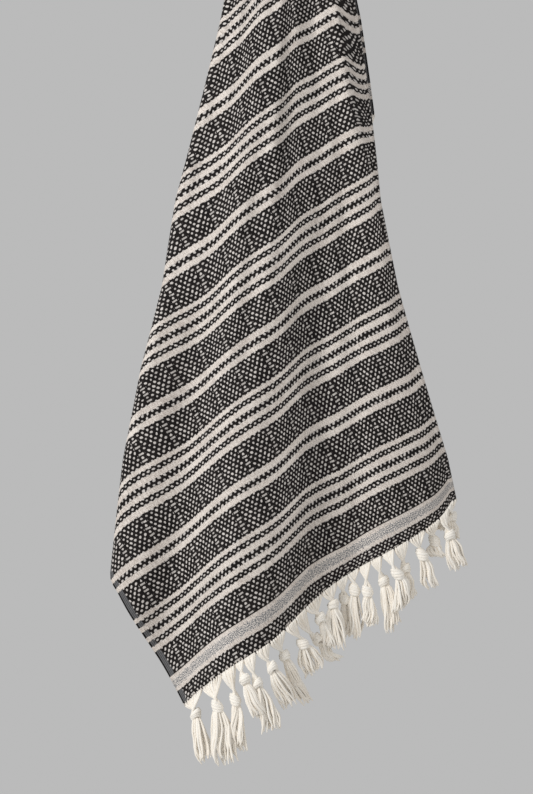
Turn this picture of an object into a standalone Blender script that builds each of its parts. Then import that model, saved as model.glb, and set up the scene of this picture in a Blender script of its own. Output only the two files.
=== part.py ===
"""A striped hammam towel that hangs from one point of its selvedge.

The cloth falls from the hang point in nine radial layers, folded back and forth one behind the
other, and both knotted fringes hang from its ends. Metres, +Z up, the wide face towards -Y,
the origin at the hang point.
"""

from collections import namedtuple

import bmesh
import bpy
import numpy as np

# The flat cloth. The weft runs from the near selvedge, the warp from the end that shows.
WIDTH = 0.915
LENGTH = 1.82
THICKNESS = 0.002

# The point of the far selvedge that the towel hangs from, as a distance from the near end.
HANG_V = 1.162

# The spacing of the layers: tight at the hang point, loose further down.
PITCH_TOP = 0.0029
PITCH_GROWTH = 0.0105
PITCH_REACH = 0.5
FRONT_LAYERS = 4

# The gathered top: how wide the bundle stays at the hang point, and how its top is rounded.
GATHER_RADIUS = 0.055
TOP_DROP = 0.003
TOP_ROUNDING = 0.012

# One row for each layer, in the order of the cloth. from_turn and to_turn are cloth angles round
# the hang point; from_reach and to_reach say how far it lies towards the left (-1) or right (+1)
# outline; rank is its place in the stack; ripple scales the folds that all layers share.
Layer = namedtuple("Layer", "from_turn to_turn from_reach to_reach rank ripple steps")
LAYERS = (
    Layer(0.0, 15.9, -0.27, 1.00, 1, 0.97, 9),
    Layer(17.0, 43.3, 1.00, -1.00, 0, 1.00, 26),
    Layer(45.5, 65.7, -1.00, 0.70, 2, 0.94, 12),
    Layer(66.8, 85.8, 0.70, -0.88, 3, 0.90, 11),
    Layer(86.9, 103.1, -0.88, 0.60, 4, 0.85, 10),
    Layer(104.2, 121.8, 0.60, -0.95, 5, 0.80, 10),
    Layer(122.9, 142.4, -0.95, 0.72, 6, 0.76, 11),
    Layer(143.5, 159.2, 0.72, -0.66, 7, 0.72, 10),
    Layer(160.3, 180.0, -0.66, 1.06, 8, 0.70, 12),
)
FOLD_STEPS = 4
CLOTH_ROWS = 15

# The outline seen from the front: angles from the vertical at each distance from the hang point,
# and the crease beyond which the right side turns away.
Outline = namedtuple("Outline", "radius left right crease")
OUTLINES = (
    Outline(0.00, -8.6, 11.0, 8.0),
    Outline(0.52, -9.6, 11.4, 8.3),
    Outline(0.65, -10.4, 10.7, 8.7),
    Outline(0.78, -11.1, 9.9, 9.7),
    Outline(0.90, -10.8, 10.1, 9.3),
    Outline(1.02, -11.2, 10.8, 9.2),
    Outline(1.15, -11.2, 11.5, 9.2),
    Outline(1.31, -10.6, 11.6, 9.2),
    Outline(1.60, -10.0, 11.6, 9.2),
)
SHOULDER_SLOPES = (0.95, 0.40)
SHOULDER_CHANGE = (0.62, 0.80)
SHOULDER_BLEND = 0.005

# The soft folds of the face: their rise towards the front, as a share of the distance from the
# hang point, high up and low down. They close up towards the hem.
Ripple = namedtuple("Ripple", "angle high low")
RIPPLES = (
    Ripple(-15.0, -0.022, -0.004),
    Ripple(-10.4, -0.020, 0.000),
    Ripple(-7.7, -0.003, -0.009),
    Ripple(-3.4, 0.024, 0.025),
    Ripple(-2.3, 0.024, 0.025),
    Ripple(5.3, -0.023, -0.024),
    Ripple(7.4, -0.016, -0.019),
    Ripple(12.5, -0.030, -0.032),
    Ripple(15.0, -0.030, -0.032),
)
RIPPLES_CHANGE = (0.72, 1.02)
RIPPLES_GATHER = 0.5
RIPPLES_GATHER_FROM = 0.9
RIPPLE_AT_TOP = 0.55
RIPPLE_AT_FOOT = 1.15
RIPPLE_LENGTH = 1.30

# How the front layer's threads spread over the face: a cloth angle, and where it hangs. Over the
# last part of the layer at both sides they are drawn in to the folds.
Thread = namedtuple("Thread", "angle turn")
THREADS = (
    Thread(11.20, 17.0),
    Thread(10.50, 19.5),
    Thread(9.45, 20.9),
    Thread(7.45, 23.0),
    Thread(5.67, 24.65),
    Thread(4.31, 26.0),
    Thread(2.67, 27.8),
    Thread(1.50, 29.4),
    Thread(0.50, 31.1),
    Thread(-0.50, 32.65),
    Thread(-1.50, 33.65),
    Thread(-2.50, 34.6),
    Thread(-3.50, 35.65),
    Thread(-4.50, 36.85),
    Thread(-5.50, 38.2),
    Thread(-6.50, 39.6),
    Thread(-7.50, 40.6),
    Thread(-8.50, 41.5),
    Thread(-9.50, 42.3),
    Thread(-10.60, 43.3),
)
THREADS_DRAWN_IN = 0.35
THREADS_DRAWN_POWER = 1.5
THREADS_SMOOTHED = 5

# The other layers: how much more cloth the steep side of a soft fold takes than its height shows,
# measured at this distance from the hang point.
FOLD_FULLNESS = 1.8
FOLD_RADIUS = 1.0
SHARE_STEPS = 81

# Small steps of cloth angle and distance, over which the cloth's slope is taken.
SLOPE_TURN = 0.05
SLOPE_RADIUS = 0.002
NEARLY_ZERO = 1e-6

# The fringe: an edge strip with a knotted lock at every pitch.
FRINGE_GAP = 0.0003
STRIP_DEPTH = 0.005
LOCK_COUNT = 31
LOCK_ROOT = 0.009
STATION_GAP = 0.001
LOCK_SWAY = 0.024
LOCK_LENGTH_SPREAD = 0.12
NEAR_LEAN = 0.19
FAR_LEAN = -0.04
NEAR_SEED = 12
FAR_SEED = 11

# One row for each section of a lock, from its root down.
Section = namedtuple("Section", "drop half_width half_depth")
LOCK = (
    Section(0.010, 0.0032, 0.0018),
    Section(0.016, 0.0064, 0.0038),
    Section(0.024, 0.0062, 0.0036),
    Section(0.030, 0.0050, 0.0028),
    Section(0.056, 0.0082, 0.0038),
    Section(0.084, 0.0068, 0.0028),
)

BLACK_AND_CREAM = (0.16, 0.15, 0.15, 1.0)
CREAM = (0.78, 0.74, 0.66, 1.0)
COTTON_ROUGHNESS = 0.9


def outline_at(radius, column):
    """One column of the outline table at a distance from the hang point, in radians."""
    radii = [row.radius for row in OUTLINES]
    return np.radians(np.interp(radius, radii, [getattr(row, column) for row in OUTLINES]))


def rise_at(angle, radius):
    """The soft folds' height at a place, eased from row to row of the table."""
    angles = np.array([row.angle for row in RIPPLES])
    gather = 1.0 + RIPPLES_GATHER * (np.maximum(radius, RIPPLES_GATHER_FROM) - RIPPLES_CHANGE[1])
    degrees = np.clip(np.degrees(angle) * gather, angles[0], angles[-1])
    row = np.clip(np.searchsorted(angles, degrees) - 1, 0, len(angles) - 2)
    share = (degrees - angles[row]) / (angles[row + 1] - angles[row])
    eased = (1.0 - np.cos(np.pi * share)) / 2.0
    high, low = (rises[row] + (rises[row + 1] - rises[row]) * eased
                 for rises in np.array([(row.high, row.low) for row in RIPPLES]).T)
    return high + (low - high) * np.interp(radius, RIPPLES_CHANGE, (0.0, 1.0))


def pitch_at(radius):
    """The spacing of neighbouring layers at a distance from the hang point."""
    return PITCH_TOP + PITCH_GROWTH * (1.0 - np.exp(-((radius / PITCH_REACH) ** 2)))


def depth_of(layer, angle, radius):
    """How far back a layer lies where an angle and a distance from the hang point meet."""
    strength = np.interp(radius, (0.0, RIPPLE_LENGTH), (RIPPLE_AT_TOP, RIPPLE_AT_FOOT))
    folds = radius * rise_at(angle, radius) * strength * layer.ripple
    past = angle - outline_at(radius, "crease")
    eased = (past + np.hypot(past, SHOULDER_BLEND)) / 2.0
    slope = np.interp(radius, SHOULDER_CHANGE, SHOULDER_SLOPES)
    shoulder = slope * radius * eased if layer.rank < 2 else 0.0
    return (layer.rank - FRONT_LAYERS) * pitch_at(radius) - folds + shoulder


def reach_angle(reach, radius, bulge):
    """The angle of a fold, drawn in by the fold's own bulge so that it meets the outline."""
    side = outline_at(radius, "right" if reach > 0 else "left")
    return abs(reach) * side - np.sign(reach) * bulge / np.hypot(radius, GATHER_RADIUS)


def fold_sizes(index, radius):
    """Half the depth of the folds before and after a layer."""
    rank = LAYERS[index].rank
    before = abs(rank - LAYERS[index - 1].rank) if index else 0
    after = abs(rank - LAYERS[index + 1].rank) if index + 1 < len(LAYERS) else 0
    return before * pitch_at(radius) / 2.0, after * pitch_at(radius) / 2.0


def layer_angle(index, share, radius):
    """The angle in space at a share of the way across a layer."""
    before, after = fold_sizes(index, radius)
    start = reach_angle(LAYERS[index].from_reach, radius, before)
    end = reach_angle(LAYERS[index].to_reach, radius, after)
    if LAYERS[index].rank:
        return start + (end - start) * share
    first, last = np.radians(THREADS[0].angle), np.radians(THREADS[-1].angle)
    angle = first + (last - first) * share
    for gap, nearness in ((start - first, 1.0 - share), (end - last, share)):
        edge = np.maximum(nearness - 1.0 + THREADS_DRAWN_IN, 0.0) / THREADS_DRAWN_IN
        angle = angle + gap * edge ** THREADS_DRAWN_POWER
    return angle


def share_table(index):
    """The share along a layer's cloth against the share across the layer in space."""
    shares = np.linspace(0.0, 1.0, SHARE_STEPS)
    if LAYERS[index].rank:
        angles = layer_angle(index, shares, FOLD_RADIUS)
        falls = np.diff(depth_of(LAYERS[index], angles, FOLD_RADIUS))
        lengths = np.hypot(np.diff(np.sin(angles)), FOLD_FULLNESS * falls)
        along = np.concatenate(([0.0], np.cumsum(lengths)))
    else:
        angles, turns = np.array(THREADS).T
        spread = np.interp(shares, (angles[0] - angles) / (angles[0] - angles[-1]), turns)
        wider = np.pad(spread, THREADS_SMOOTHED // 2, "reflect", reflect_type="odd")
        along = np.convolve(wider, np.full(THREADS_SMOOTHED, 1.0 / THREADS_SMOOTHED), "valid")
    return (along - along[0]) / (along[-1] - along[0]), shares


SHARES = [share_table(index) for index in range(len(LAYERS))]


def place(turn, radius):
    """A point of the hung cloth, from its cloth angle and distance round the hang point."""
    across = np.hypot(radius, GATHER_RADIUS)
    for index, layer in enumerate(LAYERS):
        if turn <= layer.to_turn or index + 1 == len(LAYERS):
            break
        if turn < LAYERS[index + 1].from_turn:
            return fold_point(index, turn, radius)
    along = (turn - layer.from_turn) / (layer.to_turn - layer.from_turn)
    angle = layer_angle(index, np.interp(along, *SHARES[index]), radius)
    return np.array((across * np.sin(angle), depth_of(layer, angle, radius), -radius * np.cos(angle)))


def fold_point(index, turn, radius):
    """A point on the rounded fold between a layer and the next one."""
    layer, following = LAYERS[index], LAYERS[index + 1]
    share = (turn - layer.to_turn) / (following.from_turn - layer.to_turn)
    angle = layer_angle(index, 1.0, radius)
    start = depth_of(layer, angle, radius)
    end = depth_of(following, layer_angle(index + 1, 0.0, radius), radius)
    bulge = np.sign(layer.to_reach) * fold_sizes(index, radius)[1] * np.sin(np.pi * share)
    across = np.hypot(radius, GATHER_RADIUS)
    depth = start + (end - start) * (1.0 - np.cos(np.pi * share)) / 2.0
    return np.array((across * np.sin(angle) + bulge, depth, -radius * np.cos(angle)))


def normal_at(turn, radius):
    """The unit normal of the hung cloth, by small steps along and across it."""
    across = place(turn + SLOPE_TURN, radius) - place(turn - SLOPE_TURN, radius)
    down = place(turn, radius + SLOPE_RADIUS) - place(turn, radius - SLOPE_RADIUS)
    normal = np.cross(across, down)
    return normal / np.linalg.norm(normal)


def edge_distance(turn):
    """How far the cloth reaches from the hang point at a cloth angle."""
    sideways = np.sin(np.radians(turn))
    endways = np.cos(np.radians(turn))
    reach = WIDTH / sideways if sideways > NEARLY_ZERO else np.inf
    if endways > NEARLY_ZERO:
        reach = min(reach, HANG_V / endways)
    if endways < -NEARLY_ZERO:
        reach = min(reach, (LENGTH - HANG_V) / -endways)
    return reach


def top_distance(turn):
    """Where the gathered top begins, lower at the sides of the bundle than at its middle."""
    point = place(turn, 0.0)
    half_width = GATHER_RADIUS * np.sin(outline_at(0.0, "right"))
    half_depth = FRONT_LAYERS * PITCH_TOP
    off_centre = (point[0] / half_width) ** 2 + (point[1] / half_depth) ** 2
    return TOP_DROP + TOP_ROUNDING * off_centre / 2.0


def cloth_turns():
    """The cloth angles of the mesh's columns: each layer, each fold, and both near corners."""
    turns = []
    for index, layer in enumerate(LAYERS):
        turns.extend(np.linspace(layer.from_turn, layer.to_turn, layer.steps + 1))
        if index + 1 < len(LAYERS):
            fold = np.linspace(layer.to_turn, LAYERS[index + 1].from_turn, FOLD_STEPS + 1)
            turns.extend(fold[1:-1])
    corners = (np.arctan2(WIDTH, HANG_V), np.pi - np.arctan2(WIDTH, LENGTH - HANG_V))
    for corner in np.degrees(corners):
        nearest = int(np.argmin(np.abs(np.array(turns) - corner)))
        turns[nearest] = corner
    return turns


def sheet_faces(columns, rows):
    """The faces of a closed sheet: front and back grids of points and the rim round them."""
    def front(column, row):
        return column * rows + row

    def back(column, row):
        return columns * rows + column * rows + row

    faces = []
    for column in range(columns - 1):
        for row in range(rows - 1):
            quad = ((column, row), (column + 1, row), (column + 1, row + 1), (column, row + 1))
            faces.append([front(*corner) for corner in quad])
            faces.append([back(*corner) for corner in reversed(quad)])
    rim = [(column, 0) for column in range(columns)]
    rim += [(columns - 1, row) for row in range(1, rows)]
    rim += [(column, rows - 1) for column in range(columns - 2, -1, -1)]
    rim += [(0, row) for row in range(rows - 2, 0, -1)]
    for here, there in zip(rim, rim[1:] + rim[:1]):
        faces.append([front(*there), front(*here), back(*here), back(*there)])
    return faces


def add_object(name, points, faces, colour):
    """A named object with its own material, its faces pointing out."""
    mesh = bpy.data.meshes.new(name)
    mesh.from_pydata([tuple(map(float, point)) for point in points], [], faces)
    shape = bmesh.new()
    shape.from_mesh(mesh)
    bmesh.ops.recalc_face_normals(shape, faces=shape.faces)
    bmesh.ops.triangulate(shape, faces=shape.faces)
    shape.to_mesh(mesh)
    shape.free()
    material = bpy.data.materials.new(name)
    material.use_nodes = True
    shader = material.node_tree.nodes["Principled BSDF"]
    shader.inputs["Base Color"].default_value = colour
    shader.inputs["Roughness"].default_value = COTTON_ROUGHNESS
    shader.inputs["Metallic"].default_value = 0.0
    mesh.materials.append(material)
    piece = bpy.data.objects.new(name, mesh)
    bpy.context.scene.collection.objects.link(piece)
    return piece


def make_cloth():
    """The whole towel as one sheet in its folds."""
    turns = cloth_turns()
    front, back = [], []
    for turn in turns:
        top, edge = top_distance(turn), edge_distance(turn)
        for share in np.linspace(0.0, 1.0, CLOTH_ROWS):
            radius = top + (edge - top) * share
            point = place(turn, radius)
            normal = normal_at(turn, radius) * THICKNESS / 2.0
            front.append(point + normal)
            back.append(point - normal)
    faces = sheet_faces(len(turns), CLOTH_ROWS)
    return add_object("cloth", front + back, faces, BLACK_AND_CREAM)


def to_turn_and_radius(along_weft, along_warp):
    """The cloth angle and distance round the hang point of a place in the flat cloth."""
    sideways = WIDTH - along_weft
    endways = HANG_V - along_warp
    turn = np.degrees(np.arctan2(max(sideways, 0.0), endways))
    return turn, np.hypot(sideways, endways)


def angle_and_radius(point):
    """The angle from the vertical and the distance from the hang point, seen from the front."""
    return np.arctan2(point[0], -point[2]), np.hypot(point[0], point[2])


def layer_at(turn):
    """The layer that a cloth angle lies on, or the one before its fold."""
    return [layer for layer in LAYERS if layer.from_turn <= turn or layer is LAYERS[0]][-1]


def edge_columns(warp_edge):
    """Where the cloth's own columns meet one end: place along the weft and cloth angle."""
    endways = HANG_V - warp_edge
    meets = []
    for turn in cloth_turns():
        if np.cos(np.radians(turn)) * endways <= 0.0:
            continue
        along_weft = WIDTH - endways * np.tan(np.radians(turn))
        if along_weft >= -NEARLY_ZERO:
            meets.append((along_weft, turn))
    return sorted(meets)


def lock_root(columns, middle):
    """The stretch of edge that a lock grows from: on a fold it is one of the fold's own steps."""
    half = LOCK_ROOT / 2.0
    for (start, start_turn), (end, end_turn) in zip(columns, columns[1:]):
        turn = (start_turn + end_turn) / 2.0
        on_layer = any(layer.from_turn < turn < layer.to_turn for layer in LAYERS)
        if start <= middle <= end and not on_layer:
            return start, end
    return middle - half, middle + half


def fringe_stations(columns):
    """Places along the edge strip: both sides of each lock's root and the cloth's own columns."""
    pitch = WIDTH / LOCK_COUNT
    spans = [lock_root(columns, (lock + 0.5) * pitch) for lock in range(LOCK_COUNT)]
    free = [spot for spot, turn in columns
            if all(spot < start - STATION_GAP or spot > end + STATION_GAP for start, end in spans)]
    stations = sorted(free + [side for span in spans for side in span])
    return stations, [stations.index(start) for start, end in spans]


def edge_point(columns, along_weft, along_warp, side):
    """A point in line with the cloth's edge, on the straight run between two of its columns."""
    spots = [spot for spot, turn in columns]
    after = int(np.clip(np.searchsorted(spots, along_weft), 1, len(spots) - 1))
    share = (along_weft - spots[after - 1]) / (spots[after] - spots[after - 1])
    ends = []
    for spot, column_turn in (columns[after - 1], columns[after]):
        turn, radius = to_turn_and_radius(spot, along_warp)
        normal = normal_at(column_turn, edge_distance(column_turn))
        ends.append(place(turn, radius) + side * normal * THICKNESS / 2.0)
    return ends[0] + (ends[1] - ends[0]) * share


def lock_rings(root, turn, lean, stretch):
    """The four-sided rings of one lock, which hangs from its root and leans a little aside."""
    middle = root.mean(axis=0)
    across = root[1] - root[0]
    across[2] = 0.0
    across /= np.linalg.norm(across)
    through = np.array((-across[1], across[0], 0.0))
    if np.dot(root[3] - root[0], through) < 0:
        through = -through
    layer = layer_at(turn)
    start = depth_of(layer, *angle_and_radius(middle))
    rings = []
    for section in LOCK:
        fall = section.drop * stretch
        centre = middle + np.array((lean * fall, 0.0, -fall))
        centre[1] += depth_of(layer, *angle_and_radius(centre)) - start
        wide, deep = across * section.half_width, through * section.half_depth
        rings.append([centre - wide - deep, centre + wide - deep,
                      centre + wide + deep, centre - wide + deep])
    return rings


def make_fringe(name, warp_edge, outward, lean, seed):
    """One end's fringe: a strip along the cloth's edge with a lock hung from each root."""
    columns = edge_columns(warp_edge)
    stations, roots = fringe_stations(columns)
    points, faces = [], []
    for along_weft in stations:
        for side, depth in ((1, FRINGE_GAP), (1, STRIP_DEPTH), (-1, STRIP_DEPTH), (-1, FRINGE_GAP)):
            points.append(edge_point(columns, along_weft, warp_edge + outward * depth, side))
    last = len(stations) - 1
    for station in range(last):
        here, there = 4 * station, 4 * station + 4
        for corner in range(4):
            following = (corner + 1) % 4
            if corner == 1 and station in roots:
                continue
            faces.append([here + corner, there + corner, there + following, here + following])
    faces += [[0, 1, 2, 3], [4 * last + corner for corner in (3, 2, 1, 0)]]
    chance = np.random.default_rng(seed)
    for station in roots:
        here, there = 4 * station, 4 * station + 4
        ring = [here + 1, there + 1, there + 2, here + 2]
        root = np.array([points[corner] for corner in ring])
        turn = to_turn_and_radius(stations[station], warp_edge)[0]
        sway = lean + LOCK_SWAY * chance.uniform(-1.0, 1.0)
        stretch = 1.0 + LOCK_LENGTH_SPREAD * chance.uniform(-1.0, 1.0)
        for section in lock_rings(root, turn, sway, stretch):
            first = len(points)
            points.extend(section)
            lower = [first + corner for corner in range(4)]
            for corner in range(4):
                following = (corner + 1) % 4
                faces.append([ring[corner], ring[following], lower[following], lower[corner]])
            ring = lower
        faces.append(ring)
    return add_object(name, points, faces, CREAM)


for leftover in list(bpy.data.objects):
    bpy.data.objects.remove(leftover, do_unlink=True)
make_cloth()
make_fringe("fringe_near", 0.0, -1.0, NEAR_LEAN, NEAR_SEED)
make_fringe("fringe_far", LENGTH, 1.0, FAR_LEAN, FAR_SEED)
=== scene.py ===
from collections import namedtuple

import bpy
import numpy as np
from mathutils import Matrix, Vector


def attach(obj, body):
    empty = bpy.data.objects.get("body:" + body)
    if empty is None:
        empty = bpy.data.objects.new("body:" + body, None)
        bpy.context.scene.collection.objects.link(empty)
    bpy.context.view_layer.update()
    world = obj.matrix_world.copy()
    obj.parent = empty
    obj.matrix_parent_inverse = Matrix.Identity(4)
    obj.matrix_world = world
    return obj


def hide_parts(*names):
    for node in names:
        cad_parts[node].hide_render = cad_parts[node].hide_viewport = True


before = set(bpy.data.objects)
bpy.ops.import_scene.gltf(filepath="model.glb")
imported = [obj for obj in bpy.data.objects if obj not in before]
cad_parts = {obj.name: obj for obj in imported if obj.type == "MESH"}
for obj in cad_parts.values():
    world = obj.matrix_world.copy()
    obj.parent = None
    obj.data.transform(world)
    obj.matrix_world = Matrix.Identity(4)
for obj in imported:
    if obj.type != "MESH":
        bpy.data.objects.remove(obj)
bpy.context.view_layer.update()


# The cloth: one flat-woven cotton panel with black and cream stripes across it, hung from one
# point of a selvedge. It falls in nine layers round that point, folded back and forth, with soft
# folds that every layer shares. Sizes are in metres; turn is an angle in the flat cloth.
WIDTH = 0.915
LENGTH = 1.82
SHEET_THICKNESS = 0.0014

# The point of the far selvedge that the towel hangs from, as a distance from the near end.
HANG_V = 1.162

# The spacing of the layers: tight at the hang point, loose further down. Some lie before it.
PITCH_TOP = 0.0029
PITCH_GROWTH = 0.0105
PITCH_REACH = 0.5
FRONT_LAYERS = 4

# The gathered top: how wide the bundle stays at the hang point, and how its top is rounded.
GATHER_RADIUS = 0.055
TOP_DROP = 0.0032
TOP_ROUNDING = 0.012

# One row for each layer, in the order of the cloth. from_turn and to_turn are cloth angles round
# the hang point; from_reach and to_reach say how far it lies towards the left (-1) or right (+1)
# outline; rank is its place in the stack; ripple scales the folds that all layers share.
Layer = namedtuple("Layer", "from_turn to_turn from_reach to_reach rank ripple steps")
LAYERS = (
    Layer(0.0, 15.9, -0.27, 1.00, 1, 0.97, 26),
    Layer(17.0, 43.3, 1.00, -1.00, 0, 1.00, 120),
    Layer(45.5, 65.7, -1.00, 0.70, 2, 0.94, 20),
    Layer(66.8, 85.8, 0.70, -0.88, 3, 0.90, 20),
    Layer(86.9, 103.1, -0.88, 0.60, 4, 0.85, 20),
    Layer(104.2, 121.8, 0.60, -0.95, 5, 0.80, 20),
    Layer(122.9, 142.4, -0.95, 0.72, 6, 0.76, 22),
    Layer(143.5, 159.2, 0.72, -0.66, 7, 0.72, 22),
    Layer(160.3, 180.0, -0.66, 1.06, 8, 0.70, 30),
)
FOLD_STEPS = 6
CLOTH_ROWS = 136

# The outline seen from the front: angles from the vertical at each distance from the hang point,
# and the crease beyond which the right side of the first layers turns away.
Outline = namedtuple("Outline", "radius left right crease")
OUTLINES = (
    Outline(0.00, -8.6, 11.0, 8.0),
    Outline(0.52, -9.6, 11.4, 8.3),
    Outline(0.65, -10.4, 10.7, 8.7),
    Outline(0.78, -11.1, 9.9, 9.7),
    Outline(0.90, -10.8, 10.1, 9.3),
    Outline(1.02, -11.2, 10.8, 9.2),
    Outline(1.15, -11.2, 11.5, 9.2),
    Outline(1.31, -10.6, 11.6, 9.2),
    Outline(1.60, -10.0, 11.6, 9.2),
)
SHOULDER_SLOPES = (0.95, 0.40)
SHOULDER_CHANGE = (0.62, 0.80)
SHOULDER_BLEND = 0.005
SHOULDER_LAYERS = 2

# The soft folds of the face: their rise towards the front, as a share of the distance from the
# hang point, high up and low down. They close up towards the hem.
Ripple = namedtuple("Ripple", "angle high low")
RIPPLES = (
    Ripple(-15.0, -0.022, -0.004),
    Ripple(-10.4, -0.020, 0.000),
    Ripple(-7.7, -0.003, -0.009),
    Ripple(-3.4, 0.024, 0.025),
    Ripple(-2.3, 0.024, 0.025),
    Ripple(5.3, -0.023, -0.024),
    Ripple(7.4, -0.016, -0.019),
    Ripple(12.5, -0.030, -0.032),
    Ripple(15.0, -0.030, -0.032),
)
RIPPLES_CHANGE = (0.72, 1.02)
RIPPLES_GATHER = 0.5
RIPPLES_GATHER_FROM = 0.9
RIPPLE_AT_TOP = 0.55
RIPPLE_AT_FOOT = 1.15
RIPPLE_LENGTH = 1.30

# How the front layer's threads spread over the face: a cloth angle, and where it hangs. Over the
# last part of the layer at both sides they are drawn in to the folds.
Thread = namedtuple("Thread", "angle turn")
THREADS = (
    Thread(11.20, 17.0),
    Thread(10.50, 19.5),
    Thread(9.45, 20.9),
    Thread(7.45, 23.0),
    Thread(5.67, 24.65),
    Thread(4.31, 26.0),
    Thread(2.67, 27.8),
    Thread(1.50, 29.4),
    Thread(0.50, 31.1),
    Thread(-0.50, 32.65),
    Thread(-1.50, 33.65),
    Thread(-2.50, 34.6),
    Thread(-3.50, 35.65),
    Thread(-4.50, 36.85),
    Thread(-5.50, 38.2),
    Thread(-6.50, 39.6),
    Thread(-7.50, 40.6),
    Thread(-8.50, 41.5),
    Thread(-9.50, 42.3),
    Thread(-10.60, 43.3),
)
THREADS_DRAWN_IN = 0.35
THREADS_DRAWN_POWER = 1.5
THREADS_SMOOTHED = 5

# The other layers: how much more cloth the steep side of a soft fold takes than its height shows,
# measured at this distance from the hang point.
FOLD_FULLNESS = 1.8
FOLD_RADIUS = 1.0
SHARE_STEPS = 81

# Fine creases over the soft folds: how many degrees and metres apart, and how high. They die out
# from this distance up to the hang point.
Crease = namedtuple("Crease", "degrees metres height phase")
CREASES = (
    Crease(3.1, 1.30, 0.0011, 0.3),
    Crease(4.7, -0.85, 0.0013, 2.1),
    Crease(2.2, 0.62, 0.0006, 4.0),
    Crease(7.9, 0.37, 0.0012, 5.2),
    Crease(-5.6, 0.24, 0.0005, 1.1),
)
CREASES_FADE = 0.5
NEARLY_ZERO = 1e-6


def outline_at(radius, column):
    """One column of the outline table at a distance from the hang point, in radians."""
    radii = [row.radius for row in OUTLINES]
    return np.radians(np.interp(radius, radii, [getattr(row, column) for row in OUTLINES]))


def rise_at(angle, radius):
    """The soft folds' height at a place, eased from row to row of the table."""
    angles = np.array([row.angle for row in RIPPLES])
    gather = 1.0 + RIPPLES_GATHER * (np.maximum(radius, RIPPLES_GATHER_FROM) - RIPPLES_CHANGE[1])
    degrees = np.clip(np.degrees(angle) * gather, angles[0], angles[-1])
    row = np.clip(np.searchsorted(angles, degrees) - 1, 0, len(angles) - 2)
    share = (degrees - angles[row]) / (angles[row + 1] - angles[row])
    eased = (1.0 - np.cos(np.pi * share)) / 2.0
    high, low = (rises[row] + (rises[row + 1] - rises[row]) * eased
                 for rises in np.array([(row.high, row.low) for row in RIPPLES]).T)
    return high + (low - high) * np.interp(radius, RIPPLES_CHANGE, (0.0, 1.0))


def crease_at(angle, radius):
    """The height of the fine creases, which die out towards the hang point."""
    height = np.zeros(np.broadcast(angle, radius).shape)
    for crease in CREASES:
        turns = np.degrees(angle) / crease.degrees + radius / crease.metres
        height = height + crease.height * np.sin(2.0 * np.pi * turns + crease.phase)
    return height * np.clip(radius / CREASES_FADE, 0.0, 1.0)


def pitch_at(radius):
    """The spacing of neighbouring layers at a distance from the hang point."""
    return PITCH_TOP + PITCH_GROWTH * (1.0 - np.exp(-((radius / PITCH_REACH) ** 2)))


def depth_of(layer, angle, radius):
    """How far back a layer lies where an angle and a distance from the hang point meet."""
    strength = np.interp(radius, (0.0, RIPPLE_LENGTH), (RIPPLE_AT_TOP, RIPPLE_AT_FOOT))
    folds = radius * rise_at(angle, radius) * strength * layer.ripple
    past = angle - outline_at(radius, "crease")
    eased = (past + np.hypot(past, SHOULDER_BLEND)) / 2.0
    slope = np.interp(radius, SHOULDER_CHANGE, SHOULDER_SLOPES)
    shoulder = slope * radius * eased if layer.rank < SHOULDER_LAYERS else 0.0
    return (layer.rank - FRONT_LAYERS) * pitch_at(radius) - folds + shoulder


def reach_angle(reach, radius, bulge):
    """The angle of a fold, drawn in by the fold's own bulge so that it meets the outline."""
    side = outline_at(radius, "right" if reach > 0 else "left")
    return abs(reach) * side - np.sign(reach) * bulge / np.hypot(radius, GATHER_RADIUS)


def fold_sizes(index, radius):
    """Half the depth of the folds before and after a layer."""
    rank = LAYERS[index].rank
    before = abs(rank - LAYERS[index - 1].rank) if index else 0
    after = abs(rank - LAYERS[index + 1].rank) if index + 1 < len(LAYERS) else 0
    return before * pitch_at(radius) / 2.0, after * pitch_at(radius) / 2.0


def layer_angle(index, share, radius):
    """The angle in space at a share of the way across a layer."""
    before, after = fold_sizes(index, radius)
    start = reach_angle(LAYERS[index].from_reach, radius, before)
    end = reach_angle(LAYERS[index].to_reach, radius, after)
    if LAYERS[index].rank:
        return start + (end - start) * share
    first, last = np.radians(THREADS[0].angle), np.radians(THREADS[-1].angle)
    angle = first + (last - first) * share
    for gap, nearness in ((start - first, 1.0 - share), (end - last, share)):
        edge = np.maximum(nearness - 1.0 + THREADS_DRAWN_IN, 0.0) / THREADS_DRAWN_IN
        angle = angle + gap * edge ** THREADS_DRAWN_POWER
    return angle


def share_table(index):
    """The share along a layer's cloth against the share across the layer in space."""
    shares = np.linspace(0.0, 1.0, SHARE_STEPS)
    if LAYERS[index].rank:
        angles = layer_angle(index, shares, FOLD_RADIUS)
        falls = np.diff(depth_of(LAYERS[index], angles, FOLD_RADIUS))
        lengths = np.hypot(np.diff(np.sin(angles)), FOLD_FULLNESS * falls)
        along = np.concatenate(([0.0], np.cumsum(lengths)))
    else:
        angles, turns = np.array(THREADS).T
        spread = np.interp(shares, (angles[0] - angles) / (angles[0] - angles[-1]), turns)
        wider = np.pad(spread, THREADS_SMOOTHED // 2, "reflect", reflect_type="odd")
        along = np.convolve(wider, np.full(THREADS_SMOOTHED, 1.0 / THREADS_SMOOTHED), "valid")
    return (along - along[0]) / (along[-1] - along[0]), shares


SHARES = [share_table(index) for index in range(len(LAYERS))]


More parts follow.
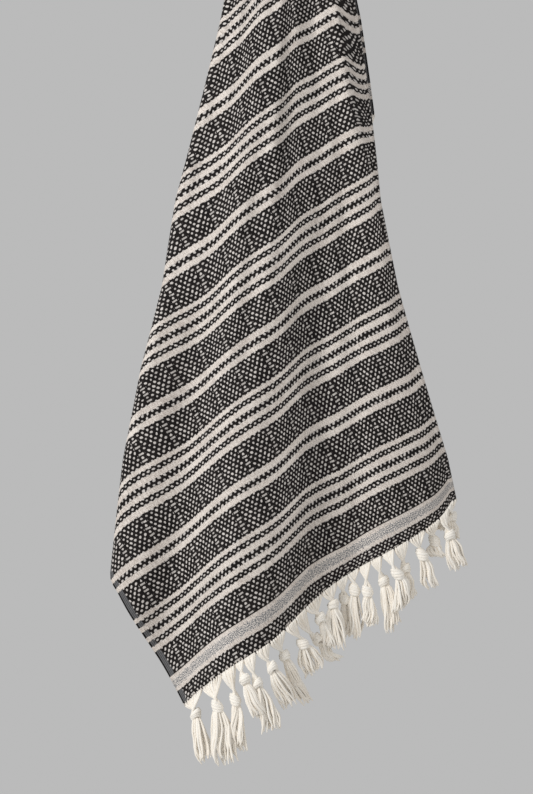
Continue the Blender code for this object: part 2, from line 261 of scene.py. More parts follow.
def hung(turn, radius):
    """Points of the hung cloth for one cloth angle, at several distances from the hang point."""
    radius = np.atleast_1d(np.asarray(radius, float))
    across = np.hypot(radius, GATHER_RADIUS)
    index = max(i for i, layer in enumerate(LAYERS) if turn >= layer.from_turn or i == 0)
    layer = LAYERS[index]
    if turn <= layer.to_turn or index + 1 == len(LAYERS):
        along = (turn - layer.from_turn) / (layer.to_turn - layer.from_turn)
        angle = layer_angle(index, np.interp(along, *SHARES[index]), radius)
        x, y = across * np.sin(angle), depth_of(layer, angle, radius)
    else:
        following = LAYERS[index + 1]
        share = (turn - layer.to_turn) / (following.from_turn - layer.to_turn)
        angle = layer_angle(index, 1.0, radius)
        start = depth_of(layer, angle, radius)
        end = depth_of(following, layer_angle(index + 1, 0.0, radius), radius)
        bulge = np.sign(layer.to_reach) * fold_sizes(index, radius)[1]
        x = across * np.sin(angle) + bulge * np.sin(np.pi * share)
        y = start + (end - start) * (1.0 - np.cos(np.pi * share)) / 2.0
    return np.stack((x, y - crease_at(angle, radius), -radius * np.cos(angle)), axis=-1)


def edge_distance(turn):
    """How far the cloth reaches from the hang point at a cloth angle."""
    sideways, endways = np.sin(np.radians(turn)), np.cos(np.radians(turn))
    reach = [WIDTH / sideways] if sideways > NEARLY_ZERO else []
    reach += [HANG_V / endways] if endways > NEARLY_ZERO else []
    reach += [(LENGTH - HANG_V) / -endways] if endways < -NEARLY_ZERO else []
    return min(reach)


def top_distance(turn):
    """Where the gathered top begins, lower at the sides of the bundle than at its middle."""
    point = hung(turn, 0.0)[0]
    half_width = GATHER_RADIUS * np.sin(outline_at(0.0, "right"))
    half_depth = FRONT_LAYERS * PITCH_TOP
    off_centre = (point[0] / half_width) ** 2 + (point[1] / half_depth) ** 2
    return TOP_DROP + TOP_ROUNDING * off_centre / 2.0


def cloth_turns():
    """The cloth angles of the mesh's columns: each layer, each fold, and both near corners."""
    turns = []
    for index, layer in enumerate(LAYERS):
        turns.extend(np.linspace(layer.from_turn, layer.to_turn, layer.steps + 1))
        if index + 1 < len(LAYERS):
            fold = np.linspace(layer.to_turn, LAYERS[index + 1].from_turn, FOLD_STEPS + 1)
            turns.extend(fold[1:-1])
    turns = np.array(turns)
    for corner in (np.arctan2(WIDTH, HANG_V), np.pi - np.arctan2(WIDTH, LENGTH - HANG_V)):
        turns[np.argmin(np.abs(turns - np.degrees(corner)))] = np.degrees(corner)
    return turns


# Right of the upper crease the weft is dragged down, so the stripes there turn over and fall.
# The drag fades further down, and also over the layer behind.
DRAG = 1.15
DRAG_FADES = (0.60, 0.80)
DRAG_ENDS_AT_TURN = 6.0

# The weight below stretches the weave near the hang point, and the right end of the hem tucks in:
# most at a small distance from the hem, and less again further up.
STRETCH = 0.056
STRETCH_TURNS = (25.0, 40.0)
STRETCHED_ABOVE = (1.0, 1.14)
TUCK = 0.0105
TUCK_TURNS = (26.5, 29.5)
TUCK_DEPTH = 0.02
TUCK_FADES = (0.10, 0.35)
TUCK_LEFT = 0.45

# Along the right-hand fold the weave is spread less closely than the flat cloth would be.
FOLDED_TURNS = (0.0, 5.0, 17.0, 20.9, 23.5, 180.0)
SHOWN_TURNS = (0.0, 5.0, 20.1, 21.8, 23.5, 180.0)
SPREAD_FADE = 0.06


def shown_turn(turn):
    """The cloth angle that the weave is counted by, spread a little at the right-hand fold."""
    return np.interp(turn, FOLDED_TURNS, SHOWN_TURNS)


def slide_at(turn, radius):
    """How far along the warp the weave has slid at places on one cloth angle."""
    above = np.interp(turn, STRETCH_TURNS, STRETCHED_ABOVE) - radius
    slide = STRETCH * np.maximum(above, 0.0) * np.sin(np.radians(turn))
    from_hem = np.maximum(HANG_V - radius * np.cos(np.radians(turn)), 0.0)
    tuck = TUCK * np.interp(turn, TUCK_TURNS, (1.0, 0.0))
    tuck = tuck * np.interp(from_hem, TUCK_FADES, (1.0, TUCK_LEFT))
    slide = slide + tuck * (1.0 - np.exp(-from_hem / TUCK_DEPTH))
    spread = radius * (np.cos(np.radians(turn)) - np.cos(np.radians(shown_turn(turn))))
    slide = slide + spread * (1.0 - np.exp(-from_hem / SPREAD_FADE))
    front = LAYERS[1]
    if turn > front.to_turn:
        return slide
    point = hung(max(turn, front.from_turn), radius)
    past = np.arctan2(point[:, 0], -point[:, 2]) - outline_at(radius, "crease")
    drag = DRAG * radius * np.maximum(past, 0.0) * np.interp(radius, DRAG_FADES, (1.0, 0.0))
    fade = (turn - DRAG_ENDS_AT_TURN) / (front.from_turn - DRAG_ENDS_AT_TURN)
    return slide + drag * np.clip(fade, 0.0, 1.0)


# The warp hangs a little more upright than the flat cloth would, most of all near the hang point.
# Low down, its threads are spaced evenly up to the right-hand fold.
PULLED_BELOW = 0.9
PULL = 0.8
UPRIGHT = 0.08
EVEN_TURNS = (0.0, 5.0, 17.0, 19.5, 20.9, 23.0, 26.0, 180.0)
COUNTED_TURNS = (0.0, 5.0, 16.6, 17.8, 19.2, 21.9, 26.0, 180.0)
COUNTED_REACH = (0.8, 1.1)
COUNTED_SHARE = (0.2, 0.85)


def weft_place(turn, radius):
    """Where the spots of the weave count from along the weft, at places on one cloth angle."""
    reach = np.where(radius < PULLED_BELOW, PULLED_BELOW + (radius - PULLED_BELOW) * PULL, radius)
    from_hem = HANG_V - radius * np.cos(np.radians(turn))
    counted = shown_turn(turn)
    even = np.interp(turn, EVEN_TURNS, COUNTED_TURNS)
    counted = counted + (even - counted) * np.interp(radius, COUNTED_REACH, COUNTED_SHARE)
    return WIDTH - reach * np.sin(np.radians(counted)) - UPRIGHT * from_hem


def sheet_faces(columns, rows):
    """The faces of a closed sheet: front and back grids of points, then the rim round them."""
    column, row = np.meshgrid(np.arange(columns - 1), np.arange(rows - 1), indexing="ij")
    first = (column * rows + row).ravel()
    front = np.stack((first, first + 1, first + rows + 1, first + rows), axis=1)
    back = front[:, ::-1] + columns * rows
    rim = [c * rows for c in range(columns)]
    rim += [(columns - 1) * rows + r for r in range(1, rows)]
    rim += [c * rows + rows - 1 for c in range(columns - 2, -1, -1)]
    rim += [r for r in range(rows - 2, 0, -1)]
    rim = np.array(rim)
    there = np.roll(rim, -1)
    edge = np.stack((rim, there, there + columns * rows, rim + columns * rows), axis=1)
    return np.concatenate((front, back)), edge


def mesh_object(name, points, faces, maps, shades):
    """A smooth mesh with its UV maps, one row for each face corner, and its own point values."""
    mesh = bpy.data.meshes.new(name)
    mesh.from_pydata(points.tolist(), [], [list(map(int, face)) for face in faces])
    for title, corners in maps.items():
        mesh.uv_layers.new(name=title).data.foreach_set("uv", corners.astype(np.float32).ravel())
    for title, values in shades.items():
        layer = mesh.attributes.new(title, "FLOAT", "POINT")
        layer.data.foreach_set("value", values.astype(np.float32))
    mesh.polygons.foreach_set("use_smooth", np.ones(len(mesh.polygons), bool))
    mesh.update()
    piece = bpy.data.objects.new(name, mesh)
    bpy.context.scene.collection.objects.link(piece)
    return piece


# The near selvedge bows out a little between the corner and the left fold.
CORNER_TURN = np.degrees(np.arctan2(WIDTH, HANG_V))
SELVEDGE_BOW = 0.0065
BOW_FADE = 0.07

# The map that the finish is baked to: the flat cloth's front and back side by side, and a narrow
# strip for the edge, so that no two places share a spot.
LAID_OUT = (2.02 * WIDTH, LENGTH * 1.01)
LAID_INSET = 0.002
LAID_BACK = (0.5, 0.0)
LAID_RIM = 0.0012


def make_cloth():
    """The whole towel as one thin sheet, with its place in the flat cloth at every point."""
    turns = cloth_turns()
    rows = np.linspace(0.0, 1.0, CLOTH_ROWS)
    tops = np.array([top_distance(turn) for turn in turns])
    edges = np.array([edge_distance(turn) for turn in turns])
    radius = tops[:, None] + (edges - tops)[:, None] * rows
    grid = np.array([hung(turn, reach) for turn, reach in zip(turns, radius)])
    along_selvedge = np.clip((turns - CORNER_TURN) / (LAYERS[1].to_turn - CORNER_TURN), 0.0, 1.0)
    from_selvedge = WIDTH - radius * np.sin(np.radians(turns))[:, None]
    bow = np.sin(np.pi * along_selvedge)[:, None] * np.exp(-from_selvedge / BOW_FADE)
    grid[..., 0] -= SELVEDGE_BOW * bow
    normal = np.cross(np.gradient(grid, axis=0), np.gradient(grid, axis=1))
    normal *= SHEET_THICKNESS / 2.0 / np.linalg.norm(normal, axis=-1, keepdims=True)
    points = np.concatenate(((grid + normal).reshape(-1, 3), (grid - normal).reshape(-1, 3)))

    radians = np.radians(turns)[:, None]
    flat = np.stack((WIDTH - radius * np.sin(radians), HANG_V - radius * np.cos(radians)), axis=-1)
    woven = flat.copy()
    woven[..., 1] += np.array([slide_at(turn, reach) for turn, reach in zip(turns, radius)])
    woven, flat = woven.reshape(-1, 2), flat.reshape(-1, 2)

    sides, edge = sheet_faces(len(turns), CLOTH_ROWS)
    half = len(flat)
    front_spots = flat / LAID_OUT + LAID_INSET
    back_spots = front_spots + LAID_BACK
    outward = front_spots - front_spots.mean(axis=0)
    outward /= np.linalg.norm(outward, axis=1, keepdims=True)
    lifted = front_spots + LAID_RIM * outward
    side_corners = np.concatenate((front_spots, back_spots))[sides].reshape(-1, 2)
    edge_corners = np.concatenate((front_spots, lifted))[edge].reshape(-1, 2)
    faces = np.concatenate((sides, edge))
    maps = {"Weave": np.concatenate((woven, woven))[faces].reshape(-1, 2),
            "OFBake": np.concatenate((side_corners, edge_corners))}
    reverse = np.concatenate((np.zeros(half), np.ones(half)))
    counted = np.array([weft_place(turn, reach) for turn, reach in zip(turns, radius)]).ravel()
    shades = {"reverse": reverse, "weft_place": np.concatenate((counted, counted))}
    return mesh_object("towel_cloth", points, faces, maps, shades)


class Value:
    """A number or colour that varies over a surface; plain sums of them draw a weave."""

    def __init__(self, socket):
        self.socket = socket

    def node(self, kind, settings, inputs, output=0):
        """A new node of the same material: its settings, and a value or link for each input."""
        tree = self.socket.id_data
        made = tree.nodes.new(kind)
        for name, value in settings.items():
            setattr(made, name, value)
        for name, value in inputs.items():
            if isinstance(value, Value):
                tree.links.new(value.socket, made.inputs[name])
            else:
                made.inputs[name].default_value = value
        return Value(made.outputs[output])

    def math(self, operation, *terms):
        return self.node("ShaderNodeMath", {"operation": operation}, dict(enumerate(terms)))

    def __add__(self, other):
        return self.math("ADD", self, other)

    def __radd__(self, other):
        return self.math("ADD", other, self)

    def __sub__(self, other):
        return self.math("SUBTRACT", self, other)

    def __rsub__(self, other):
        return self.math("SUBTRACT", other, self)

    def __mul__(self, other):
        return self.math("MULTIPLY", self, other)

    def __rmul__(self, other):
        return self.math("MULTIPLY", other, self)

    def __truediv__(self, other):
        return self.math("DIVIDE", self, other)

    def __mod__(self, other):
        return self.math("FLOORED_MODULO", self, other)

    def __pow__(self, other):
        return self.math("POWER", self, other)

    def __lt__(self, other):
        return self.math("LESS_THAN", self, other)

    def __gt__(self, other):
        return self.math("GREATER_THAN", self, other)

    def __abs__(self):
        return self.math("ABSOLUTE", self)

    def least(self, other):
        return self.math("MINIMUM", self, other)

    def floor(self):
        return self.math("FLOOR", self)

    def wave(self):
        """From -1 to 1 and back, once for each whole number."""
        return self.math("SINE", self * (2.0 * np.pi))

    def ramp(self, low, high):
        """Eases from 0 at low to 1 at high."""
        return self.node("ShaderNodeMapRange", {"interpolation_type": "SMOOTHSTEP"},
                         {"Value": self, "From Min": low, "From Max": high})

    def between(self, low, high):
        """A colour, low where the value is 0 and high where it is 1."""
        ends = [end if isinstance(end, Value) else (*end, 1.0) for end in (low, high)]
        return self.node("ShaderNodeMix", {"data_type": "RGBA"},
                         {0: self, 6: ends[0], 7: ends[1]}, 2)

    def kept(self, name):
        """A value that the mesh keeps for each of its points."""
        return self.node("ShaderNodeAttribute", {"attribute_name": name}, {}, 2)

    def part(self, axis):
        """One coordinate of a place."""
        return self.node("ShaderNodeSeparateXYZ", {}, {0: self}, axis)

    def stretched(self, x, y):
        """A place scaled by its own amount along each axis."""
        return self.node("ShaderNodeVectorMath", {"operation": "MULTIPLY"},
                         {0: self, 1: (x, y, 0.0)})

    def noise(self, scale, detail=2.0):
        """Soft random values from 0 to 1 over a place."""
        return self.node("ShaderNodeTexNoise", {"noise_dimensions": "2D"},
                         {"Vector": self, "Scale": scale, "Detail": detail})

    def chance(self, other):
        """One random value from 0 to 1 for each pair of whole numbers."""
        pair = self.node("ShaderNodeCombineXYZ", {}, {0: self, 1: other})
        return self.node("ShaderNodeTexWhiteNoise", {"noise_dimensions": "2D"}, {"Vector": pair})


def new_material(name, uv_map):
    """A material and the place on the surface that its pattern is drawn by."""
    material = bpy.data.materials.new(name)
    material.use_nodes = True
    place = material.node_tree.nodes.new("ShaderNodeUVMap")
    place.uv_map = uv_map
    return material, Value(place.outputs[0])


def finish_material(material, height, bump, inputs):
    """Joins a pattern to its material's surface, with the height of its yarns as a bump."""
    shader = material.node_tree.nodes["Principled BSDF"]
    inputs = dict(inputs)
    inputs["Normal"] = height.node("ShaderNodeBump", {}, {"Height": height, **bump})
    for name, value in inputs.items():
        if isinstance(value, Value):
            material.node_tree.links.new(value.socket, shader.inputs[name])
        else:
            shader.inputs[name].default_value = value


# The weave, as distances from the nearer end: the dark end band, the grey line between two cream
# ones, then wide dark bands with groups of cream stripes and narrow checked ones in between.
# Each band has some rows of cream spots, the first of them cut off at a share of its height.
Band = namedtuple("Band", "start end rows cut")
DARK_BANDS = (
    Band(-0.0018, 0.0423, 9.0, 0.5),
    Band(0.0499, 0.0583, 2.0, 0.5),
    Band(0.0650, 0.0743, 2.0, 0.0),
    Band(0.0817, 0.0899, 2.0, 0.5),
    Band(0.0955, 0.1406, 9.0, 0.5),
    Band(0.1481, 0.1570, 2.0, 0.0),
)
NARROW_ROWS = 2.0
END_BAND = Band(-0.0100, 0.0252, 5.2, 0.3)
GREY_LINE = (0.0308, 0.0428)
BORDER = 0.0486
REPEAT = 0.1667
SELVEDGE = 0.0092
# The outer millimetres of the selvedge are painted black, as painted shade of its slightly rolled
# edge.
SELVEDGE_SHADED_EDGE = (0.0014, 0.0030)

# The spots: how far apart their columns are, how many columns a diamond has, and a spot's size in
# columns and rows. Each spot is a little off its place and size, by two chances of its own.
COLUMN = 0.0076
DIAMOND = 6.0
SPOT_WIDE = 0.215
SPOT_TALL = 0.31
SPOT_EDGE = (0.70, 1.50)
ZIGZAG_SHIFT = 0.16
MIDDLE_REACH = 0.70
DASH_REACH = 0.48
DASH_EDGE = (0.15, 0.33)
NEXT_CHANCE = 37.0

# How the threads waver, as a noise scale and a reach, and the grain of what is seen on them.
WEFT_WAVER = (11.0, 0.004)
WARP_WAVER = (7.0, 0.0032)
FRAY = 0.0030
FRAY_GRAIN = (420.0, 170.0)
THREAD_GRAIN = (520.0, 110.0)
FLECK_GRAIN = (640.0, 480.0)
SPECKLE_GRAIN = (900.0, 620.0)
RAGGED_SCALE = 560.0
PATCH_SCALE = 23.0
PICK = 0.0023
RIB = 0.0024
TWILL = (0.0019, 0.0016)
END_YARN = 0.0046
END_YARN_LENGTH = 0.0064

BLACK = (0.0068, 0.0058, 0.0056)
FADED_BLACK = (0.022, 0.018, 0.0175)
SPOT = (0.66, 0.62, 0.585)
CREAM = (0.50, 0.44, 0.395)
PALE_CREAM = (0.80, 0.735, 0.675)
STEEL = (0.10, 0.115, 0.135)
SELVEDGE_GREY = (0.16, 0.16, 0.165)


def woven_bands(from_end, fray):
    """The dark bands, the rows of spots counted in them, and which are narrow or in zigzag."""
    in_repeat = (from_end - BORDER) % REPEAT
    in_repeat = in_repeat - REPEAT * (in_repeat > REPEAT + DARK_BANDS[0].start)
    beyond_border = 1.0 - (from_end < BORDER)
    dark = (from_end + fray > END_BAND.start) * (from_end + fray < END_BAND.end)
    rows = dark * (from_end * (END_BAND.rows / END_BAND.end) + END_BAND.cut)
    narrow = zigzag = 0.0
    for band in DARK_BANDS:
        inside = (in_repeat + fray > band.start) * (in_repeat + fray < band.end) * beyond_border
        dark = dark + inside
        step = (band.end - band.start) / band.rows
        rows = rows + inside * ((in_repeat - band.start) / step + band.cut)
        narrow = narrow + inside if band.rows == NARROW_ROWS else narrow
        zigzag = zigzag + inside if band.cut == 0.0 else zigzag
    return dark, rows, narrow, zigzag


def cream_spots(along_weft, rows, narrow, zigzag, ragged):
    """How much of a spot is at a place, how far out it is in its spot, and the two chances."""
    columns = along_weft / COLUMN
    row = rows.floor()
    odd = row % 2.0
    shifted = columns + 0.5 + 0.5 * odd
    column = shifted.floor()
    luck, other_luck = column.chance(row), (column + NEXT_CHANCE).chance(row)
    outwards = zigzag * (ZIGZAG_SHIFT - 2.0 * ZIGZAG_SHIFT * odd)
    down = (rows % 1.0) - 0.5 + outwards + 0.10 * (other_luck - 0.5)
    across = (shifted % 1.0) - 0.5 + 0.14 * (luck - 0.5)

    # Spots are a little smaller in the middle of a diamond, and slimmer and taller at its sides.
    centre = (columns % DIAMOND) - DIAMOND / 2.0
    outer = abs(centre).ramp(1.0, 2.8)
    middle = (abs(centre) < MIDDLE_REACH) * (1.0 - narrow)
    wide = SPOT_WIDE - 0.02 * middle - 0.01 * outer + 0.02 * narrow
    tall = SPOT_TALL + 0.02 * outer - 0.02 * middle + 0.08 * zigzag
    wide = wide * (0.74 + 0.50 * luck)
    tall = tall * (0.80 + 0.40 * other_luck)
    slant = across + (0.10 + 0.30 * (other_luck - 0.5)) * down * (1.0 - 2.0 * (centre < 0.0))
    spread = (slant / wide) ** 2.0 + (down / tall) ** 2.0 + ragged
    spot = 1.0 - spread.ramp(*SPOT_EDGE)

    # In every other row the middle spot of a diamond is a short dash instead.
    dash = 1.0 - (abs(down) + 0.1 * ragged).ramp(*DASH_EDGE)
    dash = middle * odd * dash * (abs(centre) < DASH_REACH)
    spot = spot * (1.0 - middle * odd) + dash * (0.75 + 0.25 * luck)
    return spot, spread, luck, other_luck


def weave_material():
    """Black and cream cotton with bird's-eye spots in the dark bands."""
    material, place = new_material("striped_weave", "Weave")
    along_weft = place.kept("weft_place") + WEFT_WAVER[1] * (place.noise(WEFT_WAVER[0]) - 0.5)
    along_warp = place.part(1) + WARP_WAVER[1] * (place.noise(WARP_WAVER[0]) - 0.5)
    fray = (place.stretched(*FRAY_GRAIN).noise(1.0, 1.0) - 0.5) * FRAY
    ragged = 1.5 * (place.noise(RAGGED_SCALE, 2.0) - 0.5)
    from_end = along_warp.least(LENGTH - along_warp)
    from_side = place.part(0).least(WIDTH - place.part(0))
    dark, rows, narrow, zigzag = woven_bands(from_end, fray)
    spot, spread, luck, other_luck = cream_spots(along_weft, rows, narrow, zigzag, ragged)
    spot = abs(place.kept("reverse") - spot)

    patch = place.noise(PATCH_SCALE, 4.0)
    thread = place.stretched(*THREAD_GRAIN).noise(1.0, 2.0)
    fleck = place.stretched(*FLECK_GRAIN).noise(1.0, 2.0)
    speckle = place.stretched(*SPECKLE_GRAIN).noise(1.0, 1.0)
    picks = ((place.part(1) / PICK).wave() + 1.0) / 2.0
    ribs = ((place.part(0) / RIB).wave() + 1.0) / 2.0
    black = (0.5 * fleck + 0.5 * luck).between(BLACK, FADED_BLACK)
    cream = 0.18 * patch + 0.34 * thread + 0.40 * fleck + 0.08 * picks
    cream = cream.ramp(0.38, 0.60).between(CREAM, PALE_CREAM)
    steel = speckle.ramp(0.40, 0.62).between(STEEL, PALE_CREAM)
    edging = (0.35 + 0.65 * ribs).between(BLACK, SELVEDGE_GREY)
    # Painted shade: the selvedge's outer edge darkens to black, as where it rolls back.
    edging = from_side.ramp(*SELVEDGE_SHADED_EDGE).between(BLACK, edging)

    checked = (spot * (0.72 + 0.28 * other_luck)).between(black, SPOT)
    banded = (from_side + 2.0 * fray < SELVEDGE).between(checked, edging)
    colour = dark.between(cream, banded)
    grey_at = from_end + 2.6 * fray
    grey = (grey_at > GREY_LINE[0]) * (grey_at < GREY_LINE[1])
    colour = grey.between(colour, steel)
    tooth = abs((place.part(0) / END_YARN + 0.3 * ragged) % 1.0 - 0.5) * 2.0
    end_yarns = from_end < END_YARN_LENGTH * tooth * (0.4 + luck) - 0.0006
    colour = end_yarns.between(colour, PALE_CREAM)

    twill = (place.part(0) / TWILL[0]).wave() * (place.part(1) / TWILL[1]).wave()
    spots_sunk = spread.least(3.0) / 3.0
    relief = dark * spots_sunk + (1.0 - dark) * 0.55 + 0.10 * twill + 0.5 * fleck
    finish_material(material, relief, {"Strength": 0.5, "Distance": 0.0009}, {
        "Base Color": colour,
        "Roughness": 0.82 + 0.14 * thread,
        "Specular IOR Level": 0.12,
        "Sheen Weight": 0.03,
        "Sheen Roughness": 0.45,
    })
    return material


cloth = make_cloth()
cloth.data.materials.append(weave_material())
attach(cloth, "root")
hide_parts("cloth")


# The fringes: the warp yarns left long at both ends, gathered a few at a time into overhand knots
# just below the cloth, with loose skirts of cream yarn under the knots. The near one hangs along
# the hem that shows; the far one is at the back.
YARN = 0.0015
YARN_TIPS = (0.6, 0.9)
ANY_TURN = 6.28

# The root yarns: where they leave the hem and enter the knot, how they sag between, how thick
# they are in yarns, and how many steps and sides each has.
ROOT_YARNS = 15
ROOT_INSIDE = 0.0022
ROOT_SCATTER = 0.0006
ROOT_FROM_EDGE = 0.001
ROOT_OFF_CENTRE = 0.9
ROOT_LEAVES = (0.0, -0.1, -1.0)
ROOT_HANGS = (0.12, 0.34)
ROOT_SAG = 0.0025
ROOT_THICKNESS = (0.95, 1.30)
ROOT_STEPS = 6
ROOT_SIDES = 5
ENTRY_HEIGHT = 0.22
ENTRY_WIDTH = 0.0050
ENTRY_DEPTH = 0.0025
ENTRY_PULL = 0.15

# The knot: yarns wound round a small ball, flatter from front to back than it is wide.
KNOT_RADIUS = 0.0080
KNOT_HEIGHT = 0.0130
KNOT_WRAPS = 4
KNOT_FILLED = 0.86
KNOT_ROUNDING = 1.3
KNOT_FLATNESS = 0.80
WRAP_TILT = (0.15, 0.45)
WRAP_LAG = 0.4
WRAP_TURNS = 1.08
WRAP_INSET = 1.2
WRAP_GIRTHS = (0.93, 1.05)
WRAP_THICKNESS = 1.75
WRAP_TINTS = (0.5, 1.0)
WRAP_STEPS = 14
WRAP_SIDES = 7

# The skirt: yarns in a few locks of their own length and sway. It opens below the knot, at these
# shares of the way down, and each yarn thins towards its end.
SKIRT_YARNS = 30
SKIRT_LOCKS = 4
SKIRT_FROM = KNOT_HEIGHT * 0.35
SKIRT_TWIST = 1.5
SKIRT_SWAY = 0.0022
SKIRT_FLATNESS = 0.55
SKIRT_WANDER = 0.0019
SKIRT_DEPTH_WANDER = 0.6
STRAND_WAVES = (0.6, 1.6)
SWAY_WAVES = 1.1
SKIRT_STEPS = 10
SKIRT_SIDES = 6
FLARED = 1.20
LOCK_SPACING = 0.2
LOCK_LENGTHS = (0.86, 1.02)
STRAND_SPREAD = 0.62
STRAND_LENGTHS = (0.91, 1.04)
OPENED_AT = (0.0, 0.12, 0.35, 0.75, 1.0)
OPENED = (0.34, 0.60, 0.90, 1.0, 0.99)
THINNED_AT = (0.0, 0.15, 0.85, 1.0)
THINNED = (0.9, 1.06, 1.06, 0.6)

# The spots that the yarns' flat strips are laid out in, so many along each side.
ATLAS = 40
ATLAS_INSET = 0.06

# place is where a tassel's middle leaves the hem, measured along the weft; drop and length are
# from the hem to the knot and to the end; lean is sideways for each metre down; flare is half the
# skirt's width; bow is how far its end swings out; behind is how far it hangs back.
Tassel = namedtuple("Tassel", "place drop length lean flare bow behind")
NEAR_TASSELS = (
    Tassel(0.020, 0.022, 0.086, 0.18, 0.0111, 0.002, 0.000),
    Tassel(0.066, 0.033, 0.117, 0.16, 0.0153, 0.001, 0.000),
    Tassel(0.101, 0.043, 0.114, 0.10, 0.0097, 0.000, 0.008),
    Tassel(0.113, 0.021, 0.074, 0.35, 0.0090, 0.001, -0.004),
    Tassel(0.130, 0.037, 0.108, 0.27, 0.0139, 0.003, 0.000),
    Tassel(0.150, 0.026, 0.079, 0.50, 0.0125, -0.003, 0.000),
    Tassel(0.176, 0.025, 0.092, 0.44, 0.0097, 0.002, 0.012),
    Tassel(0.218, 0.030, 0.074, 0.41, 0.0153, 0.000, 0.000),
    Tassel(0.231, 0.033, 0.066, 0.79, 0.0076, 0.001, 0.013),
    Tassel(0.271, 0.024, 0.064, 0.36, 0.0069, -0.002, 0.002),
    Tassel(0.310, 0.025, 0.089, 0.04, 0.0146, 0.001, 0.000),
    Tassel(0.329, 0.027, 0.082, 0.10, 0.0083, 0.000, 0.013),
    Tassel(0.349, 0.024, 0.093, 0.02, 0.0097, 0.000, 0.002),
    Tassel(0.368, 0.035, 0.083, 0.06, 0.0097, 0.000, -0.003),
    Tassel(0.385, 0.031, 0.096, 0.32, 0.0132, -0.004, 0.012),
    Tassel(0.401, 0.027, 0.071, 0.50, 0.0125, -0.018, -0.003),
    Tassel(0.422, 0.033, 0.075, 0.17, 0.0090, 0.000, 0.012),
    Tassel(0.449, 0.025, 0.073, 0.26, 0.0104, 0.001, 0.000),
    Tassel(0.479, 0.021, 0.045, 0.08, 0.0104, 0.000, 0.013),
    Tassel(0.513, 0.029, 0.076, 0.26, 0.0125, 0.001, 0.000),
    Tassel(0.556, 0.020, 0.052, 0.00, 0.0090, 0.002, 0.013),
    Tassel(0.596, 0.020, 0.048, -0.05, 0.0090, -0.001, 0.000),
    Tassel(0.630, 0.020, 0.050, 0.00, 0.0090, 0.002, 0.000),
    Tassel(0.662, 0.022, 0.060, 0.05, 0.0100, 0.000, 0.000),
    Tassel(0.694, 0.024, 0.078, 0.08, 0.0110, -0.002, 0.000),
    Tassel(0.727, 0.024, 0.082, 0.10, 0.0115, 0.001, 0.000),
    Tassel(0.759, 0.026, 0.080, 0.06, 0.0110, 0.002, 0.000),
    Tassel(0.791, 0.024, 0.085, 0.08, 0.0115, -0.001, 0.000),
    Tassel(0.823, 0.025, 0.078, 0.05, 0.0110, 0.001, 0.000),
    Tassel(0.855, 0.023, 0.082, 0.06, 0.0110, -0.002, 0.000),
    Tassel(0.888, 0.024, 0.080, 0.04, 0.0110, 0.001, 0.000),
)


def hem_point(along_weft, along_warp):
    """A point of the hung cloth, from its place in the flat cloth, and the layer it is on."""
    sideways, endways = max(WIDTH - along_weft, 0.0), HANG_V - along_warp
    turn = np.degrees(np.arctan2(sideways, endways))
    layer = [row for row in LAYERS if row.from_turn <= turn or row is LAYERS[0]][-1]
    return hung(turn, np.hypot(sideways, endways))[0], layer


# A direction that no yarn runs in, which its sides are set out from.
OFF_AXIS = (0.31, -0.93, 0.17)


def add_yarn(bundle, path, radius, sides, tint):
    """One yarn along a path, as a thin tube that closes to a point at both ends."""
    path = np.asarray(path)
    along = np.gradient(path, axis=0)
    along /= np.linalg.norm(along, axis=1, keepdims=True)
    side = np.cross(along, OFF_AXIS)
    side /= np.linalg.norm(side, axis=1, keepdims=True)
    other = np.cross(along, side)
    radius = np.broadcast_to(radius, len(path))[:, None, None]
    turn = np.linspace(0.0, 2.0 * np.pi, sides, endpoint=False)[None, :, None]
    rings = path[:, None] + radius * (np.cos(turn) * side[:, None] + np.sin(turn) * other[:, None])
    count, first = len(path), bundle["count"]
    tips = np.stack((path[0] - along[0] * YARN * YARN_TIPS[0],
                     path[-1] + along[-1] * YARN * YARN_TIPS[1]))
    bundle["points"].append(np.concatenate((rings.reshape(-1, 3), tips)))
    bundle["tints"].append(np.full(count * sides + 2, tint))

    ring, spoke = np.meshgrid(np.arange(count - 1), np.arange(sides), indexing="ij")
    ring, spoke = ring.ravel(), spoke.ravel()
    after = (spoke + 1) % sides
    quads = np.stack((ring * sides + spoke, ring * sides + after,
                      (ring + 1) * sides + after, (ring + 1) * sides + spoke), axis=1)
    length = np.concatenate(([0.0], np.cumsum(np.linalg.norm(np.diff(path, axis=0), axis=1))))
    corner_along = np.stack((length[ring],) * 2 + (length[ring + 1],) * 2, axis=1)
    corner_round = np.stack((spoke, spoke + 1, spoke + 1, spoke), axis=1) / sides
    bundle["faces"].extend((quads + first).tolist())
    bundle["corners"].append(np.stack((corner_round, corner_along), axis=-1).reshape(-1, 2))
    for end, tip, reach in ((0, count * sides, -YARN), (count - 1, count * sides + 1, YARN)):
        for spoke in range(sides):
            pair = [end * sides + spoke, end * sides + (spoke + 1) % sides]
            spots = [(spoke / sides, length[end]), ((spoke + 1) / sides, length[end])]
            if end:
                pair.reverse()
                spots.reverse()
            face = [pair[1], pair[0], tip]
            corners = [spots[1], spots[0], ((spoke + 0.5) / sides, length[end] + reach)]
            bundle["faces"].append([corner + first for corner in face])
            bundle["corners"].append(np.array(corners))
    cell = np.array((bundle["yarns"] % ATLAS, bundle["yarns"] // ATLAS))
    spots = np.concatenate(bundle["corners"][-2 * sides - 1:])
    span = length[-1] + 2.0 * YARN
    share = np.stack((spots[:, 0], (spots[:, 1] + YARN) / span), axis=1)
    inside = ATLAS_INSET + (1.0 - 2.0 * ATLAS_INSET) * share
    bundle["cells"].append((cell + inside) / ATLAS)
    bundle["yarns"] += 1
    bundle["count"] += count * sides + 2


BACKWARDS = np.array((0.0, 1.0, 0.0))


